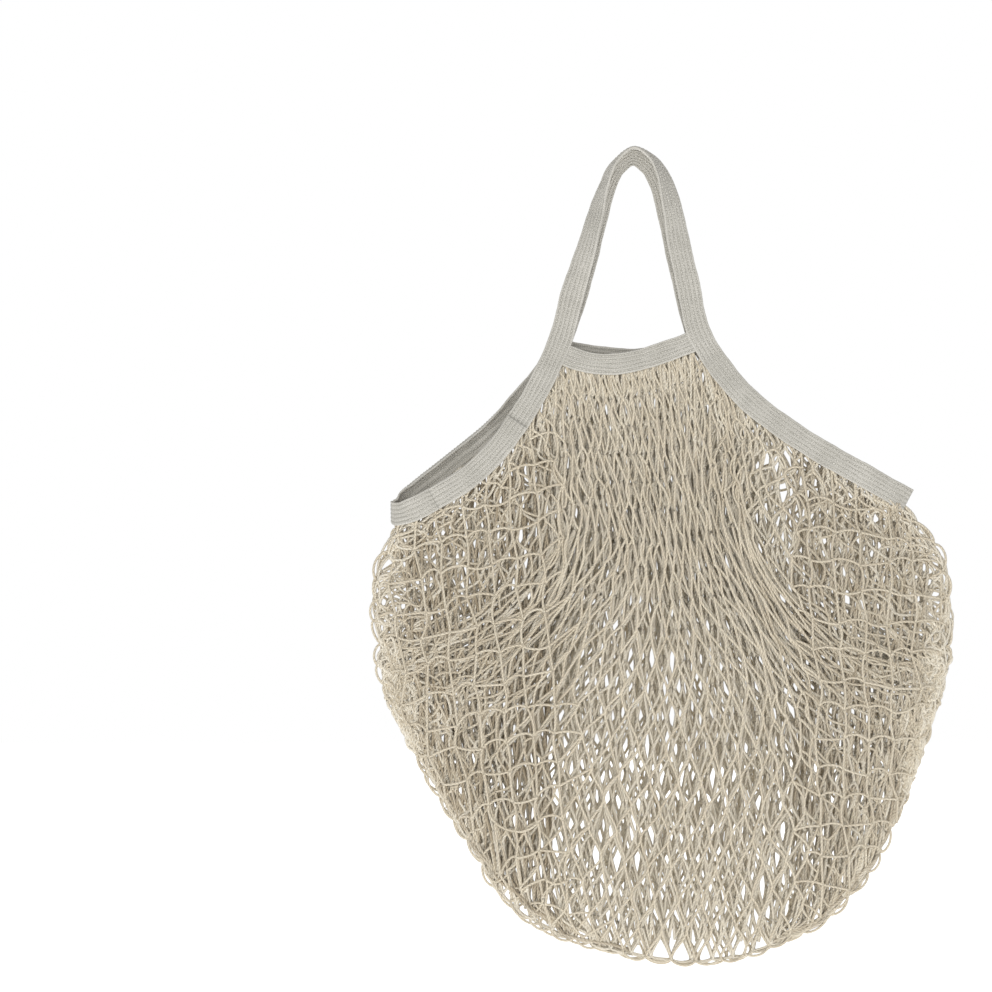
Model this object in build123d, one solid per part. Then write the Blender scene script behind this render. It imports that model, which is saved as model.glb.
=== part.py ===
"""Mesh produce bag: a knotless cotton net, gathered into two mouth bands and edged by one folded tape.

The tape forms both handles and both side bindings. Millimetres. The origin is the point the handles hang
from, +Z is up and the front faces -Y. Every length of tape is a ribbon through stations along its middle.
"""

from build123d import *
import math
import os

# Driving dimensions
TAPE_WIDTH = 17.6          # folded binding and handle tape
TAPE_THICKNESS = 1.8
BAND_WIDTH = 15.8          # mouth bands that hold the gathered net
BAND_THICKNESS = 1.6
NET_THICKNESS = 1.8        # one layer of the net, knots included
SPLICE_THICKNESS = 1.1     # the tape's free end, lapped over its start
STITCH_WIDTH = 0.7
STITCH_HEIGHT = 0.35
STITCH_ROWS = (-6.0, -2.0, 2.0, 6.0)
PIECE_GAP = 0.4            # between pieces that only touch through their sewing
LAID_ON_GAP = 0.02         # between a stitch row or lap and the tape under it
HINGE_GAP = 0.3            # each side of a handle's folding line

FRONT = Vector(0, -1, 0)
BACK = Vector(0, 1, 0)
FRONT_TO_BACK_REACH = 60

# Roots, where each handle leaves the bag, and the folding line through them
LEFT_ROOT = Vector(-56.0, 0, -144.5)
RIGHT_ROOT = Vector(49.0, 0, -139.0)
FOLD_LINE = (RIGHT_ROOT - LEFT_ROOT).normalized()
ROOT_DEPTH = 8.5

# The net's outer shape: height, left and right edge, and half its depth
NET_SECTIONS = (
    (-150, -150, 160, 9.0),
    (-210, -158, 184, 12.0),
    (-262, -166, 203, 15.0),
    (-284, -184, 213, 18.0),
    (-303, -191, 233, 20.0),
    (-337, -196.5, 239, 23.0),
    (-401, -187, 232, 26.0),
    (-464, -157.5, 215, 25.0),
    (-536, -115, 183, 19.0),
    (-580, -70, 142, 12.0),
    (-602, -12, 98, 6.5),
    (-611, 24, 66, 2.8),
)

# Where each net layer is cut into panels
NET_LEFT_CUT, NET_RIGHT_CUT, NET_FAR_RIGHT_CUT = -110, 160, 205
NET_LOW_CUT, NET_BOTTOM_CUT = -460, -540
REACH = 800                # past the bag's edges, for the blocks that cut it

# Middle of the tape down each slope: x, depth from the middle plane, z
FRONT_LEFT_SLOPE = (
    (-64, 9.5, -163),
    (-76.5, 10.5, -187),
    (-87, 11.0, -203.5),
    (-101, 11.5, -223),
    (-121, 12.0, -243),
    (-148, 11.0, -260.5),
    (-168, 8.5, -270.5),
)
BACK_LEFT_SLOPE = (
    (-65, 9.5, -164),
    (-83, 10.5, -187),
    (-104, 11.5, -209.5),
    (-133, 12.0, -233.5),
    (-154, 11.0, -250),
    (-168, 8.5, -261),
)
RIGHT_SLOPE = (
    (55.5, 9.0, -151),
    (66, 9.4, -166),
    (83, 9.8, -185.5),
    (112, 9.6, -208.5),
    (141, 8.4, -227),
    (170, 6.2, -243),
    (199, 2.6, -259.2),
)
SPLICE_START, SPLICE_END = 2, 5     # stations of the front left slope that the lap runs between

# Middle of each mouth band, from its left end to its right end: x, z
FRONT_BAND = ((-50.3, -154.6), (-33, -160), (-15, -160.9), (2, -158.2), (23, -151.6), (41.2, -144.9))
BACK_BAND = ((-48.6, -150.9), (-24, -154.6), (-2, -156.6), (20, -153.6), (42.2, -147.0))
LEFT_BAND_CUT = Vector(-0.387, 0, -0.922)
RIGHT_BAND_CUT = Vector(0.497, 0, -0.868)

# Middle of each handle, from the left root to the right root: x, depth, z, and how far the tape has
# turned from facing out (0) to lying flat on what it hangs from (90)
FRONT_HANDLE = (
    (-46.5, 8.8, -109, 4),
    (-36.4, 9.0, -76, 36),
    (-29.0, 9.2, -49, 50),
    (-21.5, 9.3, -24, 72),
    (-13.5, 9.3, -8.5, 82),
    (0.0, 9.3, 0.9, 84),
    (12.0, 9.3, -5.5, 74),
    (20.2, 9.3, -17, 58),
    (26.0, 9.2, -35, 40),
    (33.4, 9.0, -72, 14),
    (40.0, 8.8, -101, 4),
)
BACK_HANDLE = (
    (-43.5, 8.6, -109, 6),
    (-34.0, 8.2, -76, 22),
    (-26.6, 8.0, -49, 34),
    (-19.6, 7.7, -27, 44),
    (-12.2, 7.7, -12.5, 50),
    (0.0, 7.7, -5.0, 53),
    (11.0, 7.7, -11, 48),
    (18.4, 7.8, -23, 42),
    (24.6, 8.0, -42, 32),
    (32.4, 8.2, -75, 16),
    (39.0, 8.6, -103, 5),
)

LEFT_TURN_STEPS = 9
LEFT_TURN_REACH = 15.5
RIGHT_END = Vector(205.6, 0, -262.9)


def tangents(points):
    """Unit direction of travel at each point, from its neighbours."""
    result = []
    for i in range(len(points)):
        ahead = points[min(i + 1, len(points) - 1)]
        behind = points[max(i - 1, 0)]
        result.append((ahead - behind).normalized())
    return result


def frames(stations):
    """(middle point, across, outward) for each station of (middle point, facing, cut).

    A cut is the direction in which the strip's end is trimmed, or None for square to its length.
    """
    result = []
    for (point, facing, cut), along in zip(stations, tangents([point for point, _, _ in stations])):
        side = along.cross(facing).normalized()
        out = side.cross(along).normalized()
        if cut is not None:
            side = cut * (1 / cut.dot(side))
        result.append((point, side, out))
    return result


def ribbon(path, width, thickness, across=0.0, lift=0.0):
    """A strip along frames, moved sideways by across and outward by lift from its carrier's middle."""
    loops = []
    for point, side, out in path:
        corners = []
        for sideways, outward in ((-0.5, -0.5), (0.5, -0.5), (0.5, 0.5), (-0.5, 0.5)):
            reach = side * (across + sideways * width) + out * (lift + outward * thickness)
            corners.append(point + reach)
        loops.append(corners)
    faces = [make_face(Polyline(*end, close=True)).face() for end in (loops[0], loops[-1])]
    for here, there in zip(loops, loops[1:]):
        for corner in range(4):
            following = (corner + 1) % 4
            near = Edge.make_line(here[corner], there[corner])
            far = Edge.make_line(here[following], there[following])
            faces.append(Face.make_surface_from_curves(near, far))
    return Solid(Shell(faces))


def stitching(path, thickness, rows=STITCH_ROWS, base=0.0):
    """Rows of sewing thread along a ribbon's outer face, one solid for each row."""
    lift = base + thickness / 2 + LAID_ON_GAP + STITCH_HEIGHT / 2
    return Compound([ribbon(path, STITCH_WIDTH, STITCH_HEIGHT, row, lift) for row in rows])


def slope_stations(slope, facing, root):
    """Stations from a handle's root down a slope of the bag's mouth."""
    top = Vector(root.X, facing.Y * ROOT_DEPTH, root.Z - HINGE_GAP)
    stations = [(top, facing, FOLD_LINE)]
    for x, depth, z in slope:
        stations.append((Vector(x, facing.Y * depth, z), facing, None))
    return frames(stations)


def band_stations(band, facing):
    """Stations along a mouth band, its ends trimmed along the tapes beside it."""
    cuts = [LEFT_BAND_CUT] + [None] * (len(band) - 2) + [RIGHT_BAND_CUT]
    stations = []
    for (x, z), cut in zip(band, cuts):
        if cut is not None:
            cut = cut * -facing.Y
        stations.append((Vector(x, facing.Y * ROOT_DEPTH, z), facing, cut))
    return frames(stations)


def handle_stations(handle, facing):
    """Stations over a handle, from root to root, with the tape's quarter turn on each leg."""
    middle = [Vector(LEFT_ROOT.X, facing.Y * ROOT_DEPTH, LEFT_ROOT.Z + HINGE_GAP)]
    turns = [0]
    for x, depth, z, turn in handle:
        middle.append(Vector(x, facing.Y * depth, z))
        turns.append(turn)
    middle.append(Vector(RIGHT_ROOT.X, facing.Y * ROOT_DEPTH, RIGHT_ROOT.Z + HINGE_GAP))
    turns.append(0)
    stations = []
    for point, turn, along in zip(middle, turns, tangents(middle)):
        inward = Vector(along.Z, 0, -along.X).normalized()
        angle = math.radians(turn)
        looks = facing * math.cos(angle) - inward * math.sin(angle)
        stations.append((point, looks, None))
    first, last = stations[0], stations[-1]
    stations[0] = (first[0], first[1], FOLD_LINE)
    stations[-1] = (last[0], last[1], FOLD_LINE)
    return frames(stations)


def left_turn_stations(front_slope, back_slope):
    """The tape's rounded turn from the front slope to the back slope at the bag's left."""
    start, end = front_slope[-1][0], back_slope[-1][0]
    leaving = (start - front_slope[-2][0]).normalized()
    arriving = (end - back_slope[-2][0]).normalized()
    start, end = start + leaving * PIECE_GAP, end + arriving * PIECE_GAP
    pulls = (start, start + leaving * LEFT_TURN_REACH, end + arriving * LEFT_TURN_REACH, end)
    turn = Bezier(*pulls)
    stations = []
    for i in range(LEFT_TURN_STEPS):
        share = i / (LEFT_TURN_STEPS - 1)
        angle = math.pi * share
        looks = Vector(-math.sin(angle), -math.cos(angle), 0)
        stations.append((turn @ share, looks, None))
    return frames(stations)


def right_fold(front_end, back_end):
    """The pressed fold that closes the tape at the bag's right, from front tape to back tape."""
    along = (RIGHT_END - Vector(front_end.X, 0, front_end.Z)).normalized()
    depth = back_end.Y - front_end.Y + TAPE_THICKNESS
    start = Vector(front_end.X, 0, front_end.Z) + along * PIECE_GAP
    return ribbon(frames([(start, FRONT, None), (RIGHT_END, FRONT, None)]), TAPE_WIDTH, depth)


def lower_edge(path, width):
    """The line just under a ribbon, seen from the front, as (x, z) points."""
    edge = []
    for point, side, _ in path:
        down = side if side.Z < 0 else -side
        low = point + down * (width / 2 + PIECE_GAP)
        edge.append((low.X, low.Z))
    return edge


def net_body(shrink):
    """The bag's outer shape, taken in by shrink all round and raised by it, which closes the bottom."""
    sections = []
    for z, left, right, half_depth in NET_SECTIONS:
        centre = Plane(origin=((left + right) / 2, 0, z + shrink))
        outline = Ellipse((right - left) / 2 - shrink, half_depth - shrink)
        sections.append(centre * outline)
    return loft(sections, ruled=True)


def net_layer(shell, facing, left, band, right):
    """One layer of the net: the half of the shell on one side, below the tape and band on that side."""
    mouth = [(-400, 60), (-400, -286), (-178, -286)]
    mouth += reversed(lower_edge(left[1:], TAPE_WIDTH))
    mouth += lower_edge(band, BAND_WIDTH)
    mouth += lower_edge(right[1:], TAPE_WIDTH)
    mouth += [(206, -273), (400, -273), (400, 60)]
    above = make_face(Plane.XZ * Polyline(*mouth, close=True))
    removed = extrude(above, FRONT_TO_BACK_REACH * -facing.Y)
    half = Pos(0, facing.Y * FRONT_TO_BACK_REACH / 2, 0) * Box(2 * REACH, FRONT_TO_BACK_REACH, 2 * REACH)
    return (shell & half) - removed


def net_zones():
    """The blocks that cut a net layer into simple curved panels, by name."""
    left, right = NET_LEFT_CUT, NET_RIGHT_CUT
    spans = {
        "left": (-REACH, left, -REACH, REACH),
        "right": (right, NET_FAR_RIGHT_CUT, -REACH, REACH),
        "far_right": (NET_FAR_RIGHT_CUT, REACH, -REACH, REACH),
        "middle": (left, right, NET_LOW_CUT, REACH),
        "low": (left, right, NET_BOTTOM_CUT, NET_LOW_CUT),
        "bottom": (left, right, -REACH, NET_BOTTOM_CUT),
    }
    zones = {}
    for name, (x_low, x_high, z_low, z_high) in spans.items():
        middle = ((x_low + x_high) / 2, 0, (z_low + z_high) / 2)
        zones[name] = Pos(*middle) * Box(x_high - x_low, 2 * FRONT_TO_BACK_REACH, z_high - z_low)
    return zones


def write(name, shape):
    """Write one sub-part."""
    export_step(shape, f"parts/{name}.step")


os.makedirs("parts", exist_ok=True)

front_left = slope_stations(FRONT_LEFT_SLOPE, FRONT, LEFT_ROOT)
front_right = slope_stations(RIGHT_SLOPE, FRONT, RIGHT_ROOT)
back_left = slope_stations(BACK_LEFT_SLOPE, BACK, LEFT_ROOT)
back_right = slope_stations(RIGHT_SLOPE, BACK, RIGHT_ROOT)
front_band = band_stations(FRONT_BAND, FRONT)
back_band = band_stations(BACK_BAND, BACK)
front_handle = handle_stations(FRONT_HANDLE, FRONT)
back_handle = handle_stations(BACK_HANDLE, BACK)
left_turn = left_turn_stations(front_left, back_left)

# The first station is the root, so the lap's stations are one further on
lap = front_left[SPLICE_START + 1:SPLICE_END + 2]
lap_lift = TAPE_THICKNESS / 2 + LAID_ON_GAP + SPLICE_THICKNESS / 2

write("front_left_binding", ribbon(front_left, TAPE_WIDTH, TAPE_THICKNESS))
write("front_right_binding", ribbon(front_right, TAPE_WIDTH, TAPE_THICKNESS))
write("back_left_binding", ribbon(back_left, TAPE_WIDTH, TAPE_THICKNESS))
write("back_right_binding", ribbon(back_right, TAPE_WIDTH, TAPE_THICKNESS))
write("front_mouth_band", ribbon(front_band, BAND_WIDTH, BAND_THICKNESS))
write("back_mouth_band", ribbon(back_band, BAND_WIDTH, BAND_THICKNESS))
write("front_handle_strap", ribbon(front_handle, TAPE_WIDTH, TAPE_THICKNESS))
write("back_handle_strap", ribbon(back_handle, TAPE_WIDTH, TAPE_THICKNESS))
write("left_side_turn", ribbon(left_turn, TAPE_WIDTH, TAPE_THICKNESS))
write("right_side_fold", right_fold(front_right[-1][0], back_right[-1][0]))
write("splice_overlap", ribbon(lap, TAPE_WIDTH - 1, SPLICE_THICKNESS, lift=lap_lift))

before_lap = front_left[:SPLICE_START + 2]
after_lap = front_left[SPLICE_END + 1:]
left_rows = Compound(
    stitching(before_lap, TAPE_THICKNESS).solids() + stitching(after_lap, TAPE_THICKNESS).solids()
)
write("front_left_stitching", left_rows)
write("front_right_stitching", stitching(front_right, TAPE_THICKNESS))
write("back_left_stitching", stitching(back_left, TAPE_THICKNESS))
write("back_right_stitching", stitching(back_right, TAPE_THICKNESS))
write("splice_stitching", stitching(lap, SPLICE_THICKNESS, base=lap_lift))
write("front_band_stitching", stitching(front_band, BAND_THICKNESS))
write("back_band_stitching", stitching(back_band, BAND_THICKNESS))
write("front_handle_stitching", stitching(front_handle, TAPE_THICKNESS))
write("back_handle_stitching", stitching(back_handle, TAPE_THICKNESS))

net_shell = net_body(0) - net_body(NET_THICKNESS)
net_layers = {
    "front": net_layer(net_shell, FRONT, front_left, front_band, front_right),
    "back": net_layer(net_shell, BACK, back_left, back_band, back_right),
}
for layer_name, layer in net_layers.items():
    for zone_name, zone in net_zones().items():
        write(f"net_{layer_name}_{zone_name}", layer & zone)
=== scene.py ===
"""The looks of the mesh produce bag: string net, folded tape, mouth bands and their stitching.

Lengths in the tables below are millimetres in the CAD's frame; MM turns them into metres.
The CAD stands in for the open net with a shell. Here each string of it is a tube of its own, placed by
rule with a seeded scatter.
"""

import math

import bpy
import numpy as np
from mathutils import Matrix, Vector


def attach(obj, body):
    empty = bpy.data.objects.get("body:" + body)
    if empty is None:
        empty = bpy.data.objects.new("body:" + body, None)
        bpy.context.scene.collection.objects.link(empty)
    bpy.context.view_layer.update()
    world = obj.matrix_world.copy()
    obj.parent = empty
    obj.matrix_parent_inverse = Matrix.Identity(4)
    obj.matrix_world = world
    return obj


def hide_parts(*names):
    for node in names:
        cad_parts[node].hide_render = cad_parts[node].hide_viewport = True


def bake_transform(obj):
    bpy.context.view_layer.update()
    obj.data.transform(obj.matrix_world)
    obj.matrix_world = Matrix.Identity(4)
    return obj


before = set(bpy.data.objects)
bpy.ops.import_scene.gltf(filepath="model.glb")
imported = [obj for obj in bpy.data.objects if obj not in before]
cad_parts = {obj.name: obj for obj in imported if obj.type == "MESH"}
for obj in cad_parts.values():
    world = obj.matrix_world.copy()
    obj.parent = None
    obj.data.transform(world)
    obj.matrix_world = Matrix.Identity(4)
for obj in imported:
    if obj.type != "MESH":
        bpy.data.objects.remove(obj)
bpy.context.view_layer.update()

MM = 0.001

FRONT = np.array((0.0, -1.0, 0.0))
BACK = np.array((0.0, 1.0, 0.0))

# Tape and bands
TAPE_WIDTH, TAPE_THICKNESS = 17.6, 1.8
BAND_WIDTH, BAND_THICKNESS = 15.8, 1.5
BAND_DEPTH = 8.35          # from the bag's middle plane to a band's middle
LAP_WIDTH, LAP_THICKNESS = TAPE_WIDTH - 0.8, 1.1
LAP_LIFT = TAPE_THICKNESS / 2 + 0.45
TAPE_STEP = 1.6
EDGE_ROUND = 0.9           # how far in from its edges the folded tape is rounded
STITCH_ROWS = (-6.6, -3.4, -0.2, 3.0, 6.2)
STITCH_PITCH = 2.7
# GROOVE_PAINTED_SHADE darkens the tape's colour along each stitch groove: painted shade in the grooves
GROOVE, GROOVE_WIDTH, GROOVE_PAINTED_SHADE = 0.28, 0.75, 1.9

# The back tape's upper edge rolls in: from this far across, on this radius, and lifts by this much.
# ROLL_AMOUNT is how much of the roll there is at each distance in ROLL_RUN along the tape.
ROLL_START, ROLL_RADIUS, ROLL_RISE = 0.9, 3.0, 4.0
ROLL_RUN, ROLL_AMOUNT = (6, 26, 100, 150), (0.15, 1, 1, 0)

# Net
CORD_RADIUS = 0.93
INNER_RADIUS = 1.12
KNOT_SWELL = 1.2

# The bag's outer shape at each height: height, left edge, right edge, half depth
NET_SECTIONS = (
    (-611, 24, 66, 2.8), (-602, -12, 98, 6.5), (-580, -70, 142, 12.0), (-536, -115, 183, 19.0),
    (-464, -157.5, 215, 25.0), (-401, -187, 232, 26.0), (-337, -196.5, 239, 23.0),
    (-303, -191, 233, 20.0), (-284, -184, 213, 18.0), (-262, -166, 203, 15.0),
    (-210, -158, 184, 12.0), (-150, -150, 160, 9.0),
)

# Middle of the tape: x, depth from the middle plane, z, and its turn from facing out (0) to flat (90)
FRONT_LEFT = (
    (-168, 8.5, -270.5, 0), (-148, 11.0, -260.5, 0), (-121, 12.0, -243, 0), (-101, 11.5, -223, 0),
    (-87, 11.0, -203.5, 0), (-76.5, 10.5, -187, 0), (-64, 9.5, -163, 0), (-56, 8.5, -144.5, 0),
)
BACK_LEFT = (
    (-168, 8.5, -261, 0), (-154, 11.0, -250, 0), (-133, 12.0, -233.5, 0), (-104, 11.5, -209.5, 0),
    (-83, 10.5, -187, 0), (-65, 9.5, -164, 0), (-56, 8.5, -144.5, 0),
)
RIGHT = (
    (49, 8.5, -139, 0), (55.5, 9.0, -151, 0), (66, 9.4, -166, 0), (83, 9.8, -185.5, 0),
    (112, 9.6, -208.5, 0), (141, 8.4, -227, 0), (170, 6.2, -243, 0), (199, 2.6, -259.2, 0),
    (205.4, 1.1, -262.6, 0),
)
FRONT_HANDLE = (
    (-46.5, 8.8, -109, 4), (-36.4, 9.0, -76, 36), (-29.0, 9.2, -49, 50), (-21.5, 9.3, -24, 72),
    (-13.5, 9.3, -8.5, 82), (0.0, 9.3, 0.9, 84), (12.0, 9.3, -5.5, 74), (20.2, 9.3, -17, 58),
    (26.0, 9.2, -35, 40), (33.4, 9.0, -72, 14), (40.0, 8.8, -101, 4),
)
BACK_HANDLE = (
    (-43.5, 8.6, -109, 6), (-34.0, 8.2, -76, 22), (-26.6, 8.0, -49, 34), (-19.6, 7.7, -27, 44),
    (-12.2, 7.7, -12.5, 50), (0.0, 7.7, -5.0, 53), (11.0, 7.7, -11, 48), (18.4, 7.8, -23, 42),
    (24.6, 8.0, -42, 32), (32.4, 8.2, -75, 16), (39.0, 8.6, -103, 5),
)
FRONT_BAND = ((-58, -151), (-50.3, -154.6), (-33, -160), (-15, -160.9), (2, -158.2), (23, -151.6),
              (41.2, -144.9), (49, -141.6))
BACK_BAND = ((-57, -148.6), (-48.6, -150.9), (-24, -154.6), (-2, -156.6), (20, -153.6), (42.2, -147),
             (50, -144))

# The net's outline below the mouth, from the left end of the tape round to its right end
OUTLINE_LEFT = ((-172, -277), (-181, -292), (-190, -313), (-194, -340), (-191.5, -367), (-185, -401),
                (-172, -434))
OUTLINE_BOTTOM = ((-172, -434), (-154.5, -464), (-133, -502), (-113, -533), (-93, -563), (-70, -580),
                  (-40, -592), (-10, -600), (20, -606), (46, -607.5), (72, -605), (98, -597),
                  (128, -583), (156, -562), (185, -522), (201, -486), (214, -449))
OUTLINE_RIGHT = ((200, -266), (213, -284), (228, -306), (234.5, -336), (235.5, -368), (227, -408),
                 (214, -449))


def unit(v):
    """v scaled to length one, row by row."""
    return v / np.maximum(np.linalg.norm(v, axis=-1, keepdims=True), 1e-12)


def smooth(points, steps):
    """A smooth line through points (Catmull-Rom on chord length), at steps + 1 even places."""
    p = np.array(points, float)
    chord = np.concatenate([[0], np.cumsum(np.linalg.norm(np.diff(p[:, :3], axis=0), axis=1))])
    slope = np.gradient(p, chord, axis=0)
    at = np.linspace(0, chord[-1], steps + 1)
    k = np.clip(np.searchsorted(chord, at, side="right") - 1, 0, len(p) - 2)
    h = (chord[k + 1] - chord[k])[:, None]
    t = ((at - chord[k]) / h[:, 0])[:, None]
    t2, t3 = t * t, t * t * t
    return (
        (2 * t3 - 3 * t2 + 1) * p[k] + (t3 - 2 * t2 + t) * h * slope[k]
        + (3 * t2 - 2 * t3) * p[k + 1] + (t3 - t2) * h * slope[k + 1]
    )


def at_share(line, share):
    """Points at shares (0 to 1) of a line's length."""
    along = np.concatenate([[0], np.cumsum(np.linalg.norm(np.diff(line, axis=0), axis=1))])
    where = np.asarray(share) * along[-1]
    return np.stack([np.interp(where, along, line[:, i]) for i in range(line.shape[1])], axis=-1)


def hump(x, middle, width):
    """A smooth rise to one at middle."""
    return np.exp(-(((x - middle) / width) ** 2))


def smoothstep(t):
    """An even climb from 0 at t = 0 to 1 at t = 1."""
    t = np.clip(t, 0.0, 1.0)
    return t * t * (3 - 2 * t)


def edge_span(z):
    """The net's left and right edges at a height."""
    table = np.array(NET_SECTIONS, float)
    return np.interp(z, table[:, 0], table[:, 1]), np.interp(z, table[:, 0], table[:, 2])


def half_depth(x, z):
    """The bag's outer half depth at a point of its front view, in millimetres."""
    left, right = edge_span(z)
    deep = np.interp(z, [row[0] for row in NET_SECTIONS], [row[3] for row in NET_SECTIONS])
    reach = np.clip((x - (left + right) / 2) / ((right - left) / 2), -1, 1)
    return deep * np.sqrt(np.maximum(1 - reach ** 2, 0.0))


# ---------------------------------------------------------------- meshes

def make_mesh(name, verts, faces, material, uv=None, tone=None):
    """An object from points in millimetres and faces, with a map for its weave and a tone for each point."""
    mesh = bpy.data.meshes.new(name)
    mesh.from_pydata((np.asarray(verts) * MM).tolist(), [], faces)
    mesh.polygons.foreach_set("use_smooth", [True] * len(mesh.polygons))
    if uv is not None:
        layer = mesh.uv_layers.new(name="Weave")
        layer.data.foreach_set("uv", np.asarray(uv, np.float32).ravel())
    if tone is not None:
        shade = mesh.attributes.new("tone", "FLOAT", "POINT")
        shade.data.foreach_set("value", np.asarray(tone, np.float32))
    mesh.materials.append(material)
    mesh.update()
    obj = bpy.data.objects.new(name, mesh)
    bpy.context.scene.collection.objects.link(obj)
    return obj


class Tubes:
    """Collects tubes along polylines into one mesh."""

    def __init__(self, sides):
        self.sides = sides
        self.verts, self.faces, self.uv, self.tone = [], [], [], []
        self.count = 0

    def add(self, line, radius, tone=0.5):
        """One closed tube along line, with a radius for each point."""
        line = np.asarray(line, float)
        radius = np.broadcast_to(radius, len(line))
        along = unit(np.gradient(line, axis=0))
        side = unit(np.cross(along, FRONT) + 1e-6)
        lift = np.cross(side, along)
        turn = np.arange(self.sides) * 2 * math.pi / self.sides
        ring = side[:, None] * np.cos(turn)[None, :, None] + lift[:, None] * np.sin(turn)[None, :, None]
        points = line[:, None] + ring * radius[:, None, None]
        base, n, m = self.count, len(line), self.sides
        run = np.concatenate([[0], np.cumsum(np.linalg.norm(np.diff(line, axis=0), axis=1))])
        self.verts.append(points.reshape(-1, 3))
        self.tone.append(np.full(n * m, tone))
        for i in range(n - 1):
            for j in range(m):
                j2 = (j + 1) % m
                a, b = base + i * m, base + (i + 1) * m
                self.faces.append((a + j, a + j2, b + j2, b + j))
                self.uv += [(run[i], j), (run[i], j + 1), (run[i + 1], j + 1), (run[i + 1], j)]
        self.faces.append(tuple(base + j for j in reversed(range(m))))
        self.faces.append(tuple(base + (n - 1) * m + j for j in range(m)))
        self.uv += [(run[0], j) for j in reversed(range(m))] + [(run[-1], j) for j in range(m)]
        self.count += n * m

    def build(self, name, material):
        """The collected tubes as one object."""
        uv = np.array(self.uv, float)
        uv[:, 0] *= MM
        uv[:, 1] /= self.sides
        return make_mesh(name, np.concatenate(self.verts), self.faces, material, uv,
                         np.concatenate(self.tone))


# ---------------------------------------------------------------- materials

def math_node(nodes, links, operation, *values):
    """A Math node's output. Each value is a number or a socket."""
    node = nodes.new("ShaderNodeMath")
    node.operation = operation
    for k, value in enumerate(values):
        if isinstance(value, (int, float)):
            node.inputs[k].default_value = value
        else:
            links.new(value, node.inputs[k])
    return node.outputs[0]


def noise(nodes, links, place, scale, detail):
    """Cloudy noise at a place."""
    node = nodes.new("ShaderNodeTexNoise")
    node.inputs["Scale"].default_value = scale
    node.inputs["Detail"].default_value = detail
    links.new(place, node.inputs["Vector"])
    return node.outputs["Fac"]


def bump(nodes, links, height, strength, relief):
    """A Bump node on a height, with its relief in metres."""
    node = nodes.new("ShaderNodeBump")
    node.inputs["Strength"].default_value = strength
    node.inputs["Distance"].default_value = relief
    links.new(height, node.inputs["Height"])
    return node


def cotton(name, colour, dark, pattern):
    """A matte cotton material. pattern gives the weave's height socket and its relief."""
    material = bpy.data.materials.new(name)
    material.use_nodes = True
    nodes, links = material.node_tree.nodes, material.node_tree.links
    shader = nodes["Principled BSDF"]
    shader.inputs["Roughness"].default_value = 0.92
    shader.inputs["Specular IOR Level"].default_value = 0.18
    shader.inputs["Sheen Weight"].default_value = 0.25
    shader.inputs["Sheen Roughness"].default_value = 0.6
    place = nodes.new("ShaderNodeTexCoord").outputs["Object"]
    blotch = noise(nodes, links, place, 38.0, 3.0)
    fleck = noise(nodes, links, place, 900.0, 2.0)
    height, relief = pattern(nodes, links)
    tone = nodes.new("ShaderNodeAttribute")
    tone.attribute_name = "tone"
    total = 0.0
    for socket, weight in ((blotch, 0.35), (fleck, 0.25), (tone.outputs["Fac"], 0.25), (height, 0.35)):
        total = math_node(nodes, links, "MULTIPLY_ADD", socket, weight, total)
    ramp = nodes.new("ShaderNodeValToRGB")
    for element, position, shade in zip(ramp.color_ramp.elements, (0.28, 0.82), (dark, colour)):
        element.position = position
        element.color = (*shade, 1)
    links.new(total, ramp.inputs["Fac"])
    links.new(ramp.outputs["Color"], shader.inputs["Base Color"])
    weave = bump(nodes, links, height, 0.8, relief)
    fuzz = bump(nodes, links, fleck, 0.35, 0.0002)
    links.new(weave.outputs["Normal"], fuzz.inputs["Normal"])
    links.new(fuzz.outputs["Normal"], shader.inputs["Normal"])
    return material


def waves(nodes, links, scales, mix):
    """Two sine waves over the Weave map, joined by mix. A scale is waves for each unit of u and v."""
    weave = nodes.new("ShaderNodeUVMap")
    weave.uv_map = "Weave"
    split = nodes.new("ShaderNodeSeparateXYZ")
    links.new(weave.outputs["UV"], split.inputs["Vector"])
    parts = []
    for along, across in scales:
        first = math_node(nodes, links, "MULTIPLY", split.outputs["X"], along * 2 * math.pi)
        both = math_node(nodes, links, "MULTIPLY_ADD", split.outputs["Y"], across * 2 * math.pi, first)
        wave = math_node(nodes, links, "SINE", both)
        parts.append(math_node(nodes, links, "MULTIPLY_ADD", wave, 0.5, 0.5))
    return math_node(nodes, links, mix, *parts)


def ply_pattern(nodes, links):
    """Three plies wound round the string, with finer yarn twist on them."""
    return waves(nodes, links, ((330.0, 3.0), (1400.0, -5.0)), "MAXIMUM"), 0.0005


def weave_pattern(nodes, links):
    """Plain weave with a strong cross rib."""
    return waves(nodes, links, ((590.0, 0.0), (0.0, 640.0)), "MULTIPLY"), 0.0004


def thread_pattern(nodes, links):
    """Fine twist of sewing thread."""
    return waves(nodes, links, ((900.0, 2.0), (0.0, 2.0)), "MAXIMUM"), 0.0002


# Light and dark colour of each. The inner ones stand for light scattered among the strings.
CORD = cotton("net_cotton", (0.80, 0.72, 0.57), (0.62, 0.53, 0.39), ply_pattern)
PAINTED_LIGHT_INNER_CORD = cotton("inner_net_cotton_painted_light", (0.90, 0.83, 0.69), (0.80, 0.72, 0.575), ply_pattern)
# The pleat cotton reaches much darker and paler than the outer cord: painted shade for the folds behind the
# flaps and painted light for the middle fold
PLEAT_CORD_PAINTED_SHADE_AND_LIGHT = cotton("pleat_cotton_painted_shade_and_light", (0.88, 0.81, 0.67), (0.42, 0.335, 0.215), ply_pattern)
TAPE = cotton("tape_cotton", (0.68, 0.655, 0.60), (0.40, 0.385, 0.34), weave_pattern)
THREAD = cotton("thread_cotton", (0.76, 0.735, 0.67), (0.56, 0.54, 0.475), thread_pattern)


# ---------------------------------------------------------------- tape

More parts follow.
